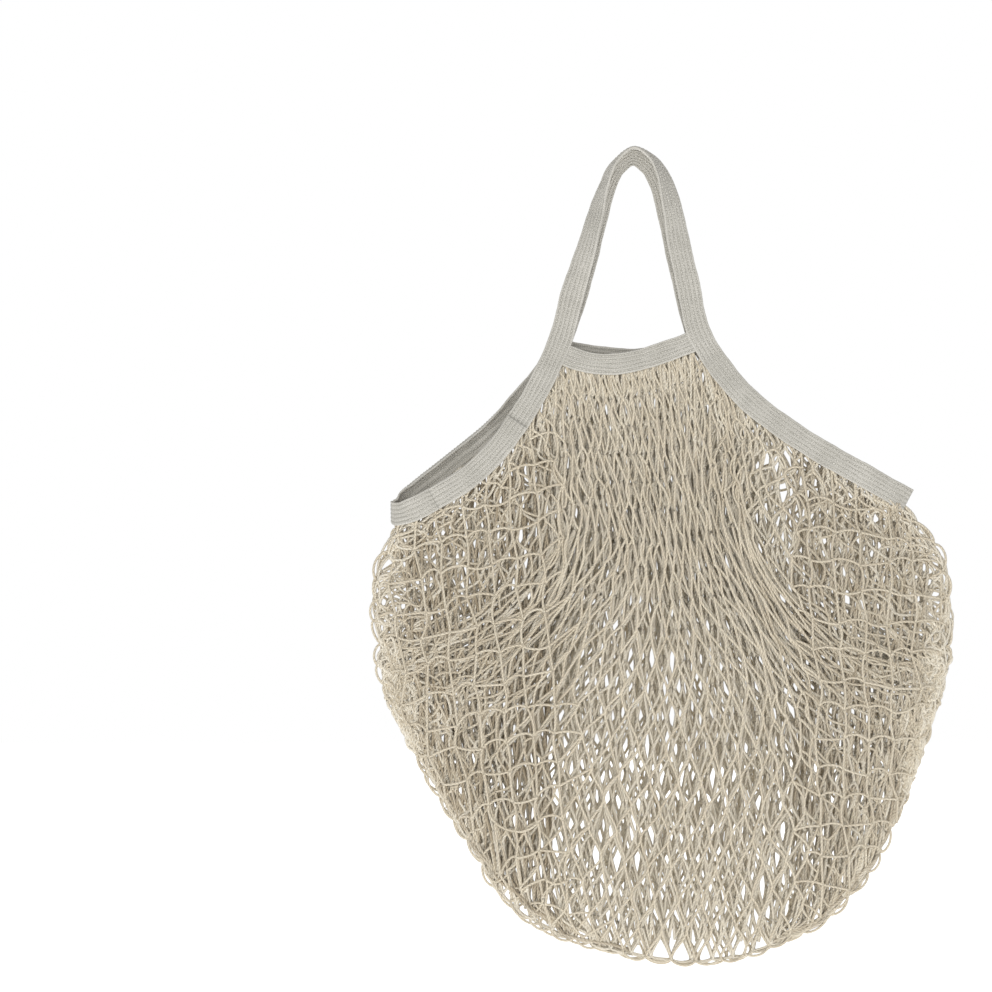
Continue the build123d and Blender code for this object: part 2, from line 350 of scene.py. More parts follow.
class Strip:
    """A tape's smooth middle line with its across and outward directions."""

    def __init__(self, stations, facing, turns=None):
        p = np.array(stations, float)
        middle = np.stack([p[:, 0], facing[1] * p[:, 1], p[:, 2]], axis=1)
        length = np.linalg.norm(np.diff(middle, axis=0), axis=1).sum()
        steps = int(length / TAPE_STEP)
        line = smooth(np.column_stack([middle, p[:, 3]]), steps)
        self.line = line[:, :3]
        self.facing = facing
        self.run = np.concatenate([[0], np.cumsum(np.linalg.norm(np.diff(self.line, axis=0), axis=1))])
        self.along = unit(np.gradient(self.line, axis=0))
        inward = unit(np.stack([self.along[:, 2], 0 * self.along[:, 0], -self.along[:, 0]], axis=1))
        turn = np.radians(line[:, 3])[:, None]
        looks = facing * np.cos(turn) - inward * np.sin(turn)
        if turns is not None:
            looks = turns(self.line, looks)
        self.side = unit(np.cross(self.along, looks))
        self.out = unit(np.cross(self.side, self.along))
        self.upper = 1.0 if self.side[len(self.side) // 8, 2] > 0 else -1.0   # its upper edge's side
        self.roll = None       # how much that edge rolls in, at a distance along

    def at(self, run):
        """(middle, along, side, out) at a distance along the strip."""
        return [
            np.stack([np.interp(run, self.run, f[:, i]) for i in range(3)], axis=-1)
            for f in (self.line, self.along, self.side, self.out)
        ]


def tape_section(width, thickness):
    """The folded tape's outline: (across, outward) points, with a soft groove under each stitch row."""
    half = width / 2
    even = half * 0.9      # evenly spaced points reach this far, and closer ones round the edges
    edge = half * np.cos(np.linspace(0, 0.27, 4) * math.pi / 2)
    across = np.unique(np.round(np.concatenate([-edge, np.linspace(-even, even, 44), edge]), 4))
    inside = np.clip((half - np.abs(across)) / EDGE_ROUND, 0, 1)
    high = thickness / 2 * (0.30 + 0.70 * np.sqrt(1 - (1 - inside) ** 2))
    groove = sum(hump(across, row * width / TAPE_WIDTH, GROOVE_WIDTH) for row in STITCH_ROWS)
    high = high - GROOVE * groove
    front = np.stack([across, high], axis=1)
    back = np.stack([across[::-1], -high[::-1]], axis=1)
    return np.concatenate([front, back]), np.concatenate([groove, groove[::-1]])


def wobble(run, size, period, seed):
    """A gentle seeded waver along a length."""
    local = np.random.default_rng(seed)
    result = np.zeros_like(run)
    for k in (1.0, 2.3, 5.1):
        result = result + np.sin(run / period * k * 2 * math.pi + local.uniform(0, 6.3)) / k
    return result * size


def rolled(across, high, amount):
    """Where a point of the tape's section goes when its upper edge rolls in over the bag's mouth."""
    turn = np.clip(across - ROLL_START, 0, None) / ROLL_RADIUS * amount
    reach = np.where(amount > 1e-3, ROLL_RADIUS / np.maximum(amount, 1e-3), 1e3)
    curled = (ROLL_START + (reach + high) * np.sin(turn), (reach + high) * np.cos(turn) - reach)
    across, high = [np.where(turn > 0, c, flat) for c, flat in zip(curled, (across, high))]
    half = TAPE_WIDTH / 2
    return across + ROLL_RISE * amount * np.clip((across + half) / (ROLL_START + half), 0, 1), high


def tape_mesh(name, strip, width, thickness, seed, lift=0.0, start=None, end=None):
    """A tape along a strip, or along part of its length, with a slight sway, puff and lift."""
    keep = np.ones(len(strip.run), bool)
    if start is not None:
        keep = (strip.run >= start) & (strip.run <= end)
    run, line, side, out = strip.run[keep], strip.line[keep], strip.side[keep], strip.out[keep]
    section, groove = tape_section(width, thickness)
    n, m = len(run), len(section)
    sway = wobble(run, 0.16, 34.0, seed)
    puff = 1 + wobble(run, 0.05, 11.0, seed + 1)
    across = section[None, :, 0] + sway[:, None] * np.sign(section[None, :, 0])
    high = section[None, :, 1] * puff[:, None] + lift + wobble(run, 0.10, 23.0, seed + 2)[:, None]
    if strip.roll is not None:
        across, high = rolled(across * strip.upper, high, strip.roll(run)[:, None])
        across = across * strip.upper
    points = line[:, None] + side[:, None] * across[..., None] + out[:, None] * high[..., None]
    faces, uv = [], []
    reach = section[:, 0]
    for i in range(n - 1):
        for j in range(m):
            j2 = (j + 1) % m
            faces.append((i * m + j, i * m + j2, (i + 1) * m + j2, (i + 1) * m + j))
            uv += [(run[i], reach[j]), (run[i], reach[j2]),
                   (run[i + 1], reach[j2]), (run[i + 1], reach[j])]
    faces.append(tuple(reversed(range(m))))
    faces.append(tuple((n - 1) * m + j for j in range(m)))
    uv += [(run[0], reach[j]) for j in reversed(range(m))] + [(run[-1], reach[j]) for j in range(m)]
    # Colour: a slow random waver along the tape, darkened along the stitch grooves as painted shade
    tone = (0.75 + wobble(run, 0.12, 50.0, seed + 3)[:, None] - GROOVE_PAINTED_SHADE * groove[None]).ravel()
    return make_mesh(name, points.reshape(-1, 3), faces, TAPE, np.array(uv) * MM, tone)


def stitches(tubes, strip, width, thickness, seed, lift=0.0, start=0.0, end=None, faces=(1, -1)):
    """Rows of separate raised stitches on the faces of a tape."""
    local = np.random.default_rng(seed)
    end = strip.run[-1] if end is None else end
    share = np.array((0.0, 0.18, 0.5, 0.82, 1.0))         # along a stitch, and its height at each
    rise = np.array((-0.35, -0.02, 0.12, -0.02, -0.35))
    for face in faces:
        for row in STITCH_ROWS:
            place = start + local.uniform(0.2, 1.2)
            while place + STITCH_PITCH < end:
                span = STITCH_PITCH * local.uniform(0.80, 0.88)
                run = place + span * share
                line, _, side, out = strip.at(run)
                drift = row * width / TAPE_WIDTH + local.normal(0, 0.07) + share * local.normal(0, 0.10)
                high = face * (thickness / 2 - 0.06 + rise) + lift
                if strip.roll is not None:
                    drift, high = rolled(drift * strip.upper, high, strip.roll(run))
                    drift = drift * strip.upper
                points = line + side * drift[:, None] + out * high[:, None]
                tubes.add(points, (0.20, 0.29, 0.32, 0.29, 0.20), local.uniform(0.1, 0.9))
                place += STITCH_PITCH * local.uniform(0.97, 1.03)


def round_left_end(line, looks):
    """Turns the tape's facing outwards as it rounds the bag's left end."""
    share = np.clip((-168.0 - line[:, 0]) / 12.0, 0, 1)[:, None]
    return unit(looks * (1 - share) + np.array((-1.0, 0, 0)) * share)


LEFT_TURN_FRONT = ((-181.6, 0.0, -271.2, 0), (-180.6, 3.4, -272.6, 0), (-176.2, 6.9, -273.0, 0))
LEFT_TURN_BACK = ((-181.6, 0.0, -271.2, 0), (-180.4, 3.4, -269.6, 0), (-175.6, 6.9, -266.0, 0))

front_strip = Strip(LEFT_TURN_FRONT + FRONT_LEFT + FRONT_HANDLE + RIGHT, FRONT, round_left_end)
back_strip = Strip(LEFT_TURN_BACK + BACK_LEFT + BACK_HANDLE + RIGHT, BACK, round_left_end)
back_strip.roll = lambda run: np.interp(run, ROLL_RUN, ROLL_AMOUNT)
front_band_strip = Strip([(x, BAND_DEPTH, z, 0) for x, z in FRONT_BAND], FRONT)
back_band_strip = Strip([(x, BAND_DEPTH, z, 0) for x, z in BACK_BAND], BACK)


def run_near(strip, x, z, low=0.0, high=1e9):
    """The distance along a strip that is nearest to a point of the front view."""
    gap = (strip.line[:, 0] - x) ** 2 + (strip.line[:, 2] - z) ** 2
    gap = np.where((strip.run >= low) & (strip.run <= high), gap, 1e12)
    return float(strip.run[np.argmin(gap)])


front_tape = tape_mesh("front_tape", front_strip, TAPE_WIDTH, TAPE_THICKNESS, 1)
back_tape = tape_mesh("back_tape", back_strip, TAPE_WIDTH, TAPE_THICKNESS, 5)
front_band = tape_mesh("front_band", front_band_strip, BAND_WIDTH, BAND_THICKNESS, 9)
back_band = tape_mesh("back_band", back_band_strip, BAND_WIDTH, BAND_THICKNESS, 13)

lap_start = run_near(front_strip, -150, -262, high=120)
lap_end = run_near(front_strip, -87, -203.5, high=160)
splice = tape_mesh("splice_lap", front_strip, LAP_WIDTH, LAP_THICKNESS, 17, LAP_LIFT, lap_start, lap_end)

front_tubes, back_tubes, band_tubes, back_band_tubes, lap_tubes = (Tubes(4) for _ in range(5))
stitches(front_tubes, front_strip, TAPE_WIDTH, TAPE_THICKNESS, 31, start=14.0, end=lap_start)
stitches(front_tubes, front_strip, TAPE_WIDTH, TAPE_THICKNESS, 32, start=lap_end, faces=(1,))
stitches(front_tubes, front_strip, TAPE_WIDTH, TAPE_THICKNESS, 33, start=lap_start, faces=(-1,))
stitches(back_tubes, back_strip, TAPE_WIDTH, TAPE_THICKNESS, 34, start=14.0)
stitches(band_tubes, front_band_strip, BAND_WIDTH, BAND_THICKNESS, 35, start=5.0)
stitches(back_band_tubes, back_band_strip, BAND_WIDTH, BAND_THICKNESS, 36, start=5.0)
stitches(lap_tubes, front_strip, LAP_WIDTH, LAP_THICKNESS, 37, LAP_LIFT, lap_start + 1, lap_end - 1, (1,))
front_stitches = front_tubes.build("front_tape_stitches", THREAD)
back_stitches = back_tubes.build("back_tape_stitches", THREAD)
band_stitches = band_tubes.build("front_band_stitches", THREAD)
back_band_stitches = back_band_tubes.build("back_band_stitches", THREAD)
lap_stitches = lap_tubes.build("splice_stitches", THREAD)


# ---------------------------------------------------------------- net

BAR = 22.5                 # string from one knot to the next
COLUMNS = 30               # what the spreads below are written for; a layer may have more
ROWS = 20
BAND_SHARE = (0.37, 0.59)  # where the band lies along the mouth
WAIST = 0.28               # how far down the columns are closest together
FLARE = 0.42               # how much further they take to spread out again
TUCK = 3.0                 # how far the strings run up behind the tape
BEHIND_TAPE = 1.5          # from the tape's middle to the strings sewn behind it
FROM_EDGE = 2.5            # from the net's edge to the end of a string that reaches it
FLAP_PITCH = 22.0          # from one level string of a flap to the next
FLAP_ROWS, FLAP_TOP, FLAP_BOTTOM = 30, -175.0, -596
FLAP_UNDER, FLAP_INSIDE = 6.0, 3.0   # clear of the mouth's line and of the bag's edges
FLAP_SETTLE = 50.0         # how far below the mouth a flap reaches the bag's surface
FLAP_PIVOT = -350.0        # the height at which a leaning upright is at its own place
WILD_REACH = 55.0          # how far from the bag's edge a flap's cells are uneven
LAST_DROP = 18             # from an upright's last knot down to where it ends
PLEAT_ROWS = 23            # of the folded netting
PLEAT_PITCH = BAR - 1.2    # from one of its rows to the next
PLEAT_INSIDE, PLEAT_LEAST = 4, 30   # its distance from the bag's edges, and the narrowest it goes
SLOPE_FOOT, SLOPE_END, BAND_END = 16.0, 6.0, 5.0   # ends of tape and band that carry no net

# How a fan layer is placed; a pair is where along the mouth and how widely
LEAN_AT, EVEN_AT = (0.47, 0.20), (0.48, 0.16)
RIPPLE = 1.3
SCATTER, EVENING = 2.6, 1.9          # of the knots, and how much less it is in the middle
FLAP_FROM, FLAP_OVER = 0.20, 0.10    # share from the middle where a layer drops behind the flaps
INSET, LEAST_DEPTH = 1.2, 0.6        # inside the bag's surface, and from its middle plane
SETTLE_FROM, SETTLE_OVER = 0.01, 0.14   # share of the way down where it takes up its own depth

# Column number against its share of the bag's width: at the mouth, at the waist and at the bottom
MOUTH_SPREAD = ((0, 0.0), (3.5, 0.22), (7, 0.37), (20, 0.59), (24, 0.70), (30, 1.0))
WAIST_SPREAD = ((0, 0.0), (4.5, 0.335), (24.5, 0.635), (30, 1.0))
BOTTOM_SPREAD = ((0, 0.0), (4.5, 0.04), (24.5, 0.94), (30, 1.0))

LEFT_EDGE, BOTTOM_EDGE, RIGHT_EDGE = (
    smooth([(x, z) for x, z in line], 80) for line in (OUTLINE_LEFT, OUTLINE_BOTTOM, OUTLINE_RIGHT)
)


def lower_line(strip, width, start, end, count=60):
    """Points just inside a tape's lower edge."""
    line, _, side, _ = strip.at(np.linspace(start, end, count))
    down = np.where(side[:, 2:3] < 0, side, -side)
    return line + down * (width / 2 - TUCK)


class Mouth:
    """The line that one side of the net hangs from, by share of its length."""

    def __init__(self, strip, band_strip):
        left_root = run_near(strip, -62, -158, high=230)
        right_root = run_near(strip, 54, -152, low=400)
        band_end = band_strip.run[-1]
        self.parts = (
            lower_line(strip, TAPE_WIDTH, SLOPE_FOOT, left_root),
            lower_line(band_strip, BAND_WIDTH, BAND_END, band_end - BAND_END),
            lower_line(strip, TAPE_WIDTH, right_root, strip.run[-1] - SLOPE_END),
        )
        for part in self.parts:
            part[:, 1] -= np.sign(part[:, 1]) * np.minimum(BEHIND_TAPE, abs(part[:, 1]))
        rising = RIGHT_EDGE[:np.argmax(RIGHT_EDGE[:, 0])]
        falling = LEFT_EDGE[:np.argmin(LEFT_EDGE[:, 0])]
        sides = [np.column_stack([edge[:, 0], 0 * edge[:, 0], edge[:, 1]]) for edge in (falling, rising)]
        whole = np.concatenate([*self.parts, *sides])
        order = np.argsort(whole[:, 0])
        self.x, self.z, self.y = whole[order, 0], whole[order, 2], whole[order, 1]

    def at(self, share):
        """The point at a share of the line's length."""
        first, second = BAND_SHARE
        if share < first:
            return at_share(self.parts[0], share / first)
        if share < second:
            return at_share(self.parts[1], (share - first) / (second - first))
        return at_share(self.parts[2], (share - second) / (1 - second))

    def height(self, x):
        """The line's height and depth at x, carried on down the net's edges past its ends."""
        return np.interp(x, self.x, self.z), np.interp(x, self.x, self.y)


def spread(table, column):
    """A column's share of the width, from one of the spreads."""
    return np.interp(column, [c for c, _ in table], [v for _, v in table])


def column_share(c, s):
    """A column's share of the width at share s of the way down."""
    if s < WAIST:
        above, below, t = MOUTH_SPREAD, WAIST_SPREAD, s / WAIST
    else:
        above, below, t = WAIST_SPREAD, BOTTOM_SPREAD, (s - WAIST) / FLARE
    u = spread(above, c)
    return u + (spread(below, c) - u) * smoothstep(t)


def fan_knots(mouth, facing, seed, lean, depth_share, count, flap_drop=0.0, hang_share=1.0):
    """Knots of a layer that fans out from the mouth to the bottom edge, row by row.

    lean swings its middle sideways. depth_share places it in the bag's depth, and flap_drop takes it
    deeper behind the flaps. With hang_share below 1 it starts deeper than the tape's own strings do.
    """
    local = np.random.default_rng(seed)
    ripples = [(local.uniform(0.7, 3.2), local.uniform(0.6, 2.4), local.uniform(0, 6.3)) for _ in range(5)]
    first, last = mouth.at(0.0)[[0, 2]], mouth.at(1.0)[[0, 2]]
    corner_left, corner_right = BOTTOM_EDGE[0], BOTTOM_EDGE[-1]
    rows = []
    for r in range(ROWS + 1):
        s = r / ROWS
        columns = np.arange(count + 1) if r % 2 == 0 else np.arange(count) + 0.5
        row = []
        for c in columns * COLUMNS / count:
            u = column_share(c, s)
            start = mouth.at(u)
            edge_l = at_share(LEFT_EDGE, s) + (first - LEFT_EDGE[0]) * (1 - s)
            edge_r = at_share(RIGHT_EDGE, s) + (last - RIGHT_EDGE[0]) * (1 - s)
            flat = (
                (1 - s) * start[[0, 2]] + s * at_share(BOTTOM_EDGE, u) + (1 - u) * edge_l + u * edge_r
                - (1 - u) * (1 - s) * first - u * (1 - s) * last
                - (1 - u) * s * corner_left - u * s * corner_right
            )
            middle = math.sin(math.pi * s)
            flat[0] += lean * middle * hump(u, *LEAN_AT)
            ripple = sum(math.sin(p * 6.3 * u + q * 6.3 * s + o) for p, q, o in ripples)
            flat[0] += RIPPLE * ripple * min(1.0, 6 * u, 6 * (1 - u)) * middle
            loose = (SCATTER - EVENING * hump(u, *EVEN_AT)) * min(1.0, 5 * s) * min(1.0, 3 * (1 - s) + 0.35)
            flat = flat + local.normal(0, loose, 2)
            behind = 1 - flap_drop * smoothstep((abs(u - 0.5) - FLAP_FROM) / FLAP_OVER) * smoothstep(4 * s)
            deep = max(depth_share * behind * half_depth(flat[0], flat[1]) - INSET, LEAST_DEPTH)
            blend = smoothstep((s - SETTLE_FROM) / SETTLE_OVER)
            y = (1 - blend) * start[1] * hang_share + blend * facing[1] * deep
            y += local.normal(0, 1.0) * blend
            row.append(np.array((flat[0], y, flat[1])))
        rows.append(np.array(row))
    return rows


def string_line(a, b, lie_a, lie_b, offset, bulge, steps=7):
    """Points of one string between two knots, leaving and meeting them along the knots' lie."""
    t = np.linspace(0, 1, steps + 1)[:, None]
    pull = np.linalg.norm(b - a) * 0.22
    curve = (
        (1 - t) ** 3 * a + 3 * t * (1 - t) ** 2 * (a + lie_a * pull)
        + 3 * t * t * (1 - t) * (b - lie_b * pull) + t ** 3 * b
    )
    cross = np.clip(1 - 5 * t, 0, 1) - np.clip(5 * t - 4, 0, 1)
    return curve + bulge * (4 * t * (1 - t)) + offset * cross


def slack_rise(gap, most):
    """How far a string of BAR's length bows when its knots are gap apart."""
    return min(most, math.sqrt(max(0.0, 0.375 * gap * (BAR - gap))))


def rim_strings(tubes, points, local, swell):
    """Scallops along the bag's edge, from point to point."""
    middle = np.array((20.0, 0, -400.0))
    for a, b in zip(points, points[1:]):
        gap = np.linalg.norm(b - a)
        if gap < 1.0:
            continue
        outward = unit(((a + b) / 2 - middle) * np.array((1, 0, 1)))
        t = np.linspace(0, 1, 10)[:, None]
        bow = outward * gap * local.uniform(*swell) + BACK * local.normal(0, 0.8)
        tubes.add(a + (b - a) * t + bow * (4 * t * (1 - t)) ** 0.7, CORD_RADIUS, local.uniform(0, 1))


def fan_net(knots, facing, seed, most_bow, sides=6, steps=7, tones=(0, 1), swell=(0.16, 0.28),
            cord=CORD_RADIUS):
    """All strings of a fanning layer: zigzags that cross at the knots, and the scallops of its edge.

    most_bow is how far a slack string may bow, and swell the range of a scallop's bow to its span.
    """
    local = np.random.default_rng(seed)
    tubes = Tubes(sides)
    count = len(knots[0]) - 1
    lies = []
    for r, row in enumerate(knots):
        before = knots[r - 2] if r >= 2 else row
        after = knots[r + 2] if r + 2 <= ROWS else row
        lies.append(unit((after[:len(row)] - before[:len(row)]) * np.array((1, 0.5, 1)) - (0, 0, 1e-3)))
    for k in range(count + 1):
        for hand in (1, -1):
            points, radii = [], []
            for r in range(ROWS):
                shifted = k if hand > 0 else k - 1
                here, there = (k, shifted) if r % 2 == 0 else (shifted, k)
                if here < 0 or there < 0 or here >= len(knots[r]) or there >= len(knots[r + 1]):
                    if points:
                        tubes.add(np.concatenate(points), np.concatenate(radii), local.uniform(*tones))
                    points, radii = [], []
                    continue
                a, b = knots[r][here], knots[r + 1][there]
                across = unit(np.cross(b - a, facing))
                across = across if across[2] > 0 else -across
                way = 1 if local.random() < 0.62 else -1
                rise = slack_rise(np.linalg.norm(b - a), most_bow) * local.uniform(0.5, 1.0)
                bulge = across * way * rise + facing * local.normal(0, 0.6)
                offset = (facing * 0.42 + np.array((0.38, 0, 0)) * hand) * (hand if r % 2 == 0 else -hand)
                points.append(string_line(a, b, lies[r][here], lies[r + 1][there], offset, bulge, steps))
                thick = np.full(len(points[-1]), cord)
                thick[[0, -1]] = cord * KNOT_SWELL
                radii.append(thick)
            if points:
                tubes.add(np.concatenate(points), np.concatenate(radii), local.uniform(*tones))
    rim = [knots[r][0] for r in range(0, ROWS + 1, 2)] + list(knots[ROWS])
    rim += [knots[r][-1] for r in range(ROWS - 2, -1, -2)]
    rim_strings(tubes, rim, local, swell)
    return tubes


def flap_net(tubes, mouth, fan, facing, seed, places, lean, rise, wild_side, join):
    """A side flap: taut upright strings crossed by slack level ones, with square cells between them.

    wild_side is -1 or 1, for the side where the bag's edge makes the cells uneven. On the other side
    the level strings end at knots of the fan, and join is how far across and up they reach for one.
    """
    local = np.random.default_rng(seed)
    anchors = np.concatenate(fan)
    knots = {}
    for i, x0 in enumerate(places):
        for j in range(FLAP_ROWS):
            z = FLAP_TOP - j * FLAP_PITCH + rise * (x0 - places[0]) + local.normal(0, 1.6)
            x = x0 + lean * (FLAP_PIVOT - z) + local.normal(0, 1.3)
            left, right = edge_span(z)
            wild = np.clip(1 - abs(x - (left if wild_side < 0 else right)) / WILD_REACH, 0, 1)
            x += local.normal(0, 4.5) * wild
            z += local.normal(0, 5.5) * wild
            top, top_y = mouth.height(x)
            within = left + FLAP_INSIDE < x < right - FLAP_INSIDE
            if z > top - FLAP_UNDER or not within or z < FLAP_BOTTOM:
                continue
            blend = smoothstep((top - z) / FLAP_SETTLE)
            deep = half_depth(x, z) - 0.4
            y = (1 - blend) * top_y + blend * facing[1] * max(deep, 1.0) + local.normal(0, 0.9)
            knots[i, j] = np.array((x, y, z))

    def link(a, b, bow):
        """A string from a to b."""
        lie = unit(b - a)
        line = string_line(a, b, lie, lie, facing * 0.4 * local.choice((-1, 1)), bow, 8)
        swollen = np.where(np.isin(np.arange(9), (0, 8)), KNOT_SWELL, 1.0)
        tubes.add(line, swollen * CORD_RADIUS, local.uniform(-0.2, 0.6))

    def join_fan(here, reach):
        """A string from here to the fan's knot nearest to where it reaches."""
        gaps = np.linalg.norm((anchors - here - reach) * np.array((1, 0.1, 1)), axis=1)
        gaps[(anchors[:, 0] - here[0]) * reach[0] < 0] = 1e3
        end = anchors[np.argmin(gaps)]
        link(here, end, np.array((0, 0, 1.0)) * slack_rise(np.linalg.norm(end - here), 2.0))

    for (i, j), here in knots.items():
        below, beside = knots.get((i, j + 1)), knots.get((i + 1, j))
        if below is not None:
            gap = np.linalg.norm(below - here)
            sideways = np.array((local.choice((-1, 1)), 0, 0)) * slack_rise(gap, 2.2) * local.uniform(0.2, 1)
            link(here, below, sideways)
        if beside is not None:
            gap = np.linalg.norm(beside - here)
            up = 1 if local.random() < 0.72 else -0.6
            link(here, beside, np.array((0, 0, up)) * slack_rise(gap, 5.5) * local.uniform(0.4, 1.0))
        if (i, j - 1) not in knots:
            top, top_y = mouth.height(here[0])
            if 0 < top - here[2] < 40:
                link(np.array((here[0] + local.normal(0, 2), top_y, top)), here, np.zeros(3))
        if below is None:
            left, right = edge_span(here[2] - LAST_DROP)
            end = np.array((np.clip(here[0] + lean * LAST_DROP, left, right), 0.0, here[2] - LAST_DROP))
            if end[2] > -606:
                link(here, end, np.zeros(3))
        if (i - 1, j) not in knots:
            left, _ = edge_span(here[2])
            if wild_side < 0 and here[0] - left < 30:
                link(here, np.array((left + FROM_EDGE, 0.0, here[2] - 3)), np.array((0, 0, 3.0)))
            elif wild_side > 0 and join:
                join_fan(here, np.array((-join[0], 0, join[1])))
        if beside is None:
            _, right = edge_span(here[2])
            if wild_side > 0 and right - here[0] < 30:
                link(here, np.array((right - FROM_EDGE, 0.0, here[2] - 3)), np.array((0, 0, 3.0)))
            elif wild_side < 0 and join:
                join_fan(here, np.array((join[0], 0, join[1])))


def pleat_net(tubes, mouths, seed, high, low, columns, level, tones):
    """Netting folded in behind a flap: narrow diamonds between two lines, from the mouth down.

    high and low are (height, left, right), and level is the depth as a share of the bag's half depth.
    """
    local = np.random.default_rng(seed)
    rows = []
    for r in range(PLEAT_ROWS):
        row = []
        z0 = high[0] - r * PLEAT_PITCH
        t = np.clip((z0 - high[0]) / (low[0] - high[0]), 0, 1)
        left, right = high[1] + (low[1] - high[1]) * t, high[2] + (low[2] - high[2]) * t
        for c in np.arange(columns + 1) if r % 2 == 0 else np.arange(columns) + 0.5:
            x = left + (right - left) * c / columns + local.normal(0, 0.8)
            z = z0 + local.normal(0, 2.0)
            edge_l, edge_r = edge_span(z)
            x = np.clip(x, edge_l + PLEAT_INSIDE, edge_r - PLEAT_INSIDE)
            top = min(mouth.height(x)[0] for mouth in mouths)
            y = level * half_depth(x, z) + local.normal(0, 0.8)
            there = low[0] < z < top + 10 and edge_r - edge_l > PLEAT_LEAST
            row.append(np.array((x, y, z)) if there else None)
        rows.append(row)
    for r in range(len(rows) - 1):
        for k, a in enumerate(rows[r]):
            for m in ((k - 1, k) if r % 2 == 0 else (k, k + 1)):
                if a is None or not 0 <= m < len(rows[r + 1]) or rows[r + 1][m] is None:
                    continue
                b = rows[r + 1][m]
                top = min(mouth.height(a[0])[0] for mouth in mouths)
                start = a if a[2] < top else a + (b - a) * np.clip((a[2] - top) / (a[2] - b[2]), 0, 1)
                lie = np.array((0, 0, -1.0))
                line = string_line(start, b, lie, lie, FRONT * 0.3, FRONT * local.normal(0, 0.5), 6)
                tubes.add(line, INNER_RADIUS, local.uniform(*tones))


front_mouth = Mouth(front_strip, front_band_strip)
back_mouth = Mouth(back_strip, back_band_strip)

front_knots = fan_knots(front_mouth, FRONT, 41, 26.0, 0.86, 40, 0.5)
front_fan = fan_net(front_knots, FRONT, 43, 3.0, tones=(-0.2, 0.7))
back_fan = fan_net(fan_knots(back_mouth, BACK, 42, 6.0, 0.98, 36), BACK, 44, 4.0)

flaps = Tubes(6)
left_places = [-196.0 + 18.6 * k for k in range(8)]
right_places = [132.0 + 19.5 * k for k in range(6)]
flap_net(flaps, front_mouth, front_knots, FRONT, 51, left_places, 0.085, 0.20, -1, (17.0, 9.0))
flap_net(flaps, front_mouth, front_knots, FRONT, 52, right_places, 0.04, -0.06, 1, (15.0, 5.0))

# Layers between the outer ones: mouth, facing, seed, lean and depth
INNER_COLUMNS = 48
INNER_LAYERS = (
    (front_mouth, FRONT, 81, 14.0, 0.50), (front_mouth, FRONT, 83, -8.0, 0.12),
    (back_mouth, BACK, 85, 18.0, 0.58),
)
inner = []
for mouth, facing, seed, lean, depth in INNER_LAYERS:
    knots = fan_knots(mouth, facing, seed, lean, depth, INNER_COLUMNS, 0.3, 0.72)
    # These strings are paler, with the inner cotton and tones of 0.5 to 1.3: painted light standing for
    # light scattered in among the layers
    inner.append(fan_net(knots, facing, seed + 1, 3.0, 4, 6, (0.5, 1.3), (0.02, 0.16), INNER_RADIUS))

# Folded netting at the left, in the middle and at the right: high, low, columns and tones. The tones paint
# shade on the left and right folds, which lie behind the flaps, and paint light on the middle one
PLEATS = (
    ((-180, -190, -62), (-604, -142, -62), 20, (-0.8, 0.1)),
    ((-168, -58, 114), (-608, -58, 116), 23, (0.8, 1.6)),
    ((-190, 118, 226), (-604, 120, 206), 17, (-0.4, 0.5)),
)
front_pleats, back_pleats = Tubes(4), Tubes(4)
for tubes, seed, level in ((front_pleats, 61, -0.30), (back_pleats, 71, 0.35)):
    for k, (high, low, columns, tones) in enumerate(PLEATS):
        pleat_net(tubes, (front_mouth, back_mouth), seed + k, high, low, columns, level, tones)

# Each net piece: its strings and cotton, and laid flat its width, length and the area its string covers
NET_PARTS = {
    "front_net": (front_fan, CORD, 0.50, 0.42, 0.093),
    "back_net": (back_fan, CORD, 0.50, 0.42, 0.086),
    "side_flaps": (flaps, CORD, 0.22, 0.28, 0.0205),
    "front_inner_net": (inner[0], PAINTED_LIGHT_INNER_CORD, 0.55, 0.45, 0.122),
    "middle_net": (inner[1], PAINTED_LIGHT_INNER_CORD, 0.55, 0.45, 0.122),
    "back_inner_net": (inner[2], PAINTED_LIGHT_INNER_CORD, 0.55, 0.45, 0.123),
    "front_pleats": (front_pleats, PLEAT_CORD_PAINTED_SHADE_AND_LIGHT, 0.60, 0.45, 0.156),
    "back_pleats": (back_pleats, PLEAT_CORD_PAINTED_SHADE_AND_LIGHT, 0.60, 0.45, 0.155),
}
nets = {name: part[0].build(name, part[1]) for name, part in NET_PARTS.items()}


# ---------------------------------------------------------------- bodies and nodes

# The handles' fold: a point of its line, and the way up from it square to the line
HINGE = np.array((-56.0, 0, -144.5))
HINGE_UP = unit(np.array((-0.0524, 0, 0.9986)))
BLEND_REACH = 3.0
low, high = (tuple((HINGE + HINGE_UP * reach) * MM) for reach in (-BLEND_REACH, BLEND_REACH))
for piece, body in ((front_tape, "front_handle"), (front_stitches, "front_handle"),
                    (back_tape, "back_handle"), (back_stitches, "back_handle")):
    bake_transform(piece)
for piece in (front_band, back_band, splice, band_stitches, back_band_stitches, lap_stitches,
              *nets.values()):
    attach(piece, "bag")

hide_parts("front_left_binding", "front_right_binding", "front_handle_strap",
            "left_side_turn", "right_side_fold")
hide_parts("back_left_binding", "back_right_binding", "back_handle_strap")
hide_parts("front_left_stitching", "front_right_stitching", "front_handle_stitching")
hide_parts("back_left_stitching", "back_right_stitching", "back_handle_stitching")
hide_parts("front_mouth_band")
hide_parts("back_mouth_band")
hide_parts("splice_overlap")
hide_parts("splice_stitching")
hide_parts("front_band_stitching")
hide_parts("back_band_stitching")
for side in ("front", "back"):
    zones = ("middle", "left", "right", "far_right", "low", "bottom")
    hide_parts(*(f"net_{side}_{zone}" for zone in zones))


# ---------------------------------------------------------------- camera, light and floor

AIM = Vector((0.0, 0, -0.35))
LIGHTS = (("key", (-1.1, -1.9, 0.7), 1.3, 11), ("fill", (0.1, -3.3, -0.1), 1.4, 26),
          ("rear", (0.6, 2.6, 0.8), 1.4, 14))


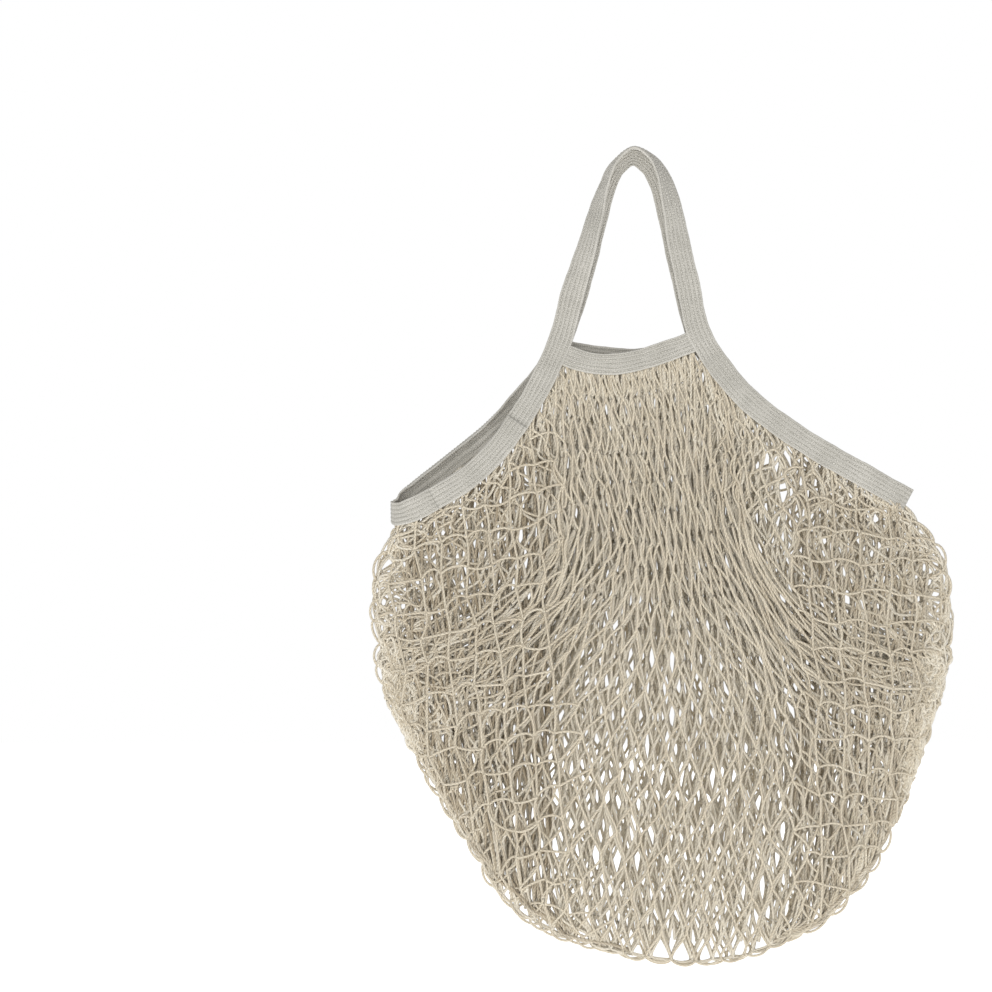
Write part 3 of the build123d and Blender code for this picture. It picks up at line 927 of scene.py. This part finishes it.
def add_camera():
    """A long lens level with the middle of the view, as wide as the object's picture."""
    data = bpy.data.cameras.new("camera")
    camera = bpy.data.objects.new("camera", data)
    distance, wide = 2.6, 0.744
    data.sensor_width = 36.0
    data.lens = 36.0 * distance / wide
    camera.location = (-0.1035, -distance, -0.2595)
    camera.rotation_euler = (math.radians(90), 0, 0)
    bpy.context.scene.collection.objects.link(camera)
    bpy.context.scene.camera = camera


def add_area(name, place, size, power):
    """A soft square light aimed at the bag's middle."""
    data = bpy.data.lights.new(name, "AREA")
    data.shape, data.size, data.energy = "SQUARE", size, power
    light = bpy.data.objects.new(name, data)
    light.location = place
    light.rotation_euler = (AIM - Vector(place)).to_track_quat("-Z", "Y").to_euler()
    bpy.context.scene.collection.objects.link(light)


def add_world():
    """White all round, brighter to look at than it lights."""
    world = bpy.data.worlds.new("studio")
    bpy.context.scene.world = world
    world.use_nodes = True
    nodes, links = world.node_tree.nodes, world.node_tree.links
    shine = nodes["Background"]
    shine.inputs["Color"].default_value = (1, 1, 1, 1)
    shine.inputs["Strength"].default_value = 0.42
    seen = nodes.new("ShaderNodeBackground")
    seen.inputs["Color"].default_value = (1, 1, 1, 1)
    seen.inputs["Strength"].default_value = 1.0
    path = nodes.new("ShaderNodeLightPath")
    mix = nodes.new("ShaderNodeMixShader")
    links.new(path.outputs["Is Camera Ray"], mix.inputs["Fac"])
    links.new(shine.outputs["Background"], mix.inputs[1])
    links.new(seen.outputs["Background"], mix.inputs[2])
    links.new(mix.outputs["Shader"], nodes["World Output"].inputs["Surface"])


def add_floor():
    """A plain pale floor under the hanging bag."""
    bpy.ops.mesh.primitive_plane_add(size=6, location=(0, 0, -0.66))
    floor = bpy.context.object
    floor.name = "floor"
    material = bpy.data.materials.new("floor_pale")
    material.use_nodes = True
    shader = material.node_tree.nodes["Principled BSDF"]
    shader.inputs["Base Color"].default_value = (0.8, 0.8, 0.8, 1)
    shader.inputs["Roughness"].default_value = 0.9
    shader.inputs["Emission Color"].default_value = (1, 1, 1, 1)
    shader.inputs["Emission Strength"].default_value = 0.85
    floor.data.materials.append(material)


add_camera()
add_world()
add_floor()
for name, place, size, power in LIGHTS:
    add_area(name, place, size, power)
bpy.context.scene.view_settings.view_transform = "Standard"
